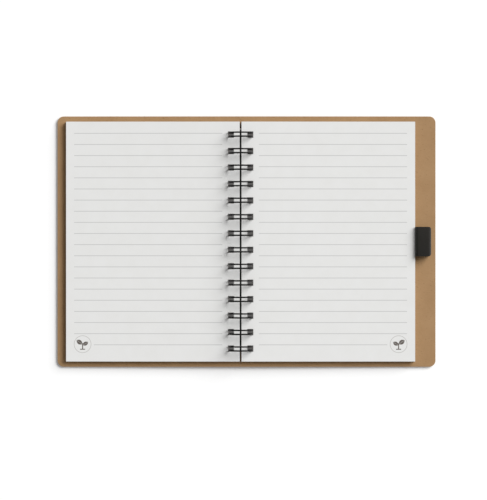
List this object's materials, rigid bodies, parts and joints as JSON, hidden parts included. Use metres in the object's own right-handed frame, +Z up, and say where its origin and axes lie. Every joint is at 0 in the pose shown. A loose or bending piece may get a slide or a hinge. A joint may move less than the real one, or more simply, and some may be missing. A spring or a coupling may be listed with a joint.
{
  "type": "pocket notebook",
  "caption": "Wire-bound pocket notebook with kraft board covers, ruled leaves that turn on a twin-loop wire, and an elastic pen loop on the back cover's ledge.",
  "frame": {"origin": "on the table, under the middle of the open notebook's outline", "axes": "+X from the front cover to the back cover, +Y to the head of the leaves, +Z up from the table"},
  "size_m": [0.1948, 0.129, 0.0113],
  "materials": {
    "kraft_board": "uncoated kraft board",
    "paper": "uncoated writing paper, ruled in pale grey",
    "black_wire": "black nylon-coated steel wire",
    "elastic": "black woven elastic"
  },
  "bodies": {
    "back_half": {"back_cover": "kraft_board", "wire_binding": "black_wire", "pen_loop": "elastic"},
    "front_half": {"front_cover": "kraft_board"},
    "left_stack": {"left_pages": "paper"},
    "left_sheet_2": {"left_leaf_2": "paper"},
    "left_sheet_1": {"left_leaf_1": "paper"},
    "right_stack": {"right_pages": "paper"},
    "right_sheet_2": {"right_leaf_2": "paper"},
    "right_sheet_1": {"right_leaf_1": "paper"}
  },
  "joints": [
    {"name": "front_cover_turn", "type": "hinge", "parent": "back_half", "child": "front_half", "pos_m": [-0.00305, 0, 0.00498], "axis": [0, 1, 0], "range_deg": [0, 181.1]},
    {"name": "left_pages_turn", "type": "hinge", "parent": "front_half", "child": "left_stack", "pos_m": [-0.00305, 0, 0.00498], "axis": [0, -1, 0], "range_deg": [-180, 0]},
    {"name": "left_leaf_2_turn", "type": "hinge", "parent": "left_stack", "child": "left_sheet_2", "pos_m": [-0.00305, 0, 0.00498], "axis": [0, -1, 0], "range_deg": [-180, 0]},
    {"name": "left_leaf_1_turn", "type": "hinge", "parent": "left_sheet_2", "child": "left_sheet_1", "pos_m": [-0.00305, 0, 0.00498], "axis": [0, -1, 0], "range_deg": [-180, 0]},
    {"name": "right_pages_turn", "type": "hinge", "parent": "back_half", "child": "right_stack", "pos_m": [-0.00305, 0, 0.00498], "axis": [0, 1, 0], "range_deg": [-180, 0]},
    {"name": "right_leaf_2_turn", "type": "hinge", "parent": "right_stack", "child": "right_sheet_2", "pos_m": [-0.00305, 0, 0.00498], "axis": [0, 1, 0], "range_deg": [-180, 0]},
    {"name": "right_leaf_1_turn", "type": "hinge", "parent": "right_sheet_2", "child": "right_sheet_1", "pos_m": [-0.00305, 0, 0.00498], "axis": [0, 1, 0], "range_deg": [-180, 0]}
  ]
}
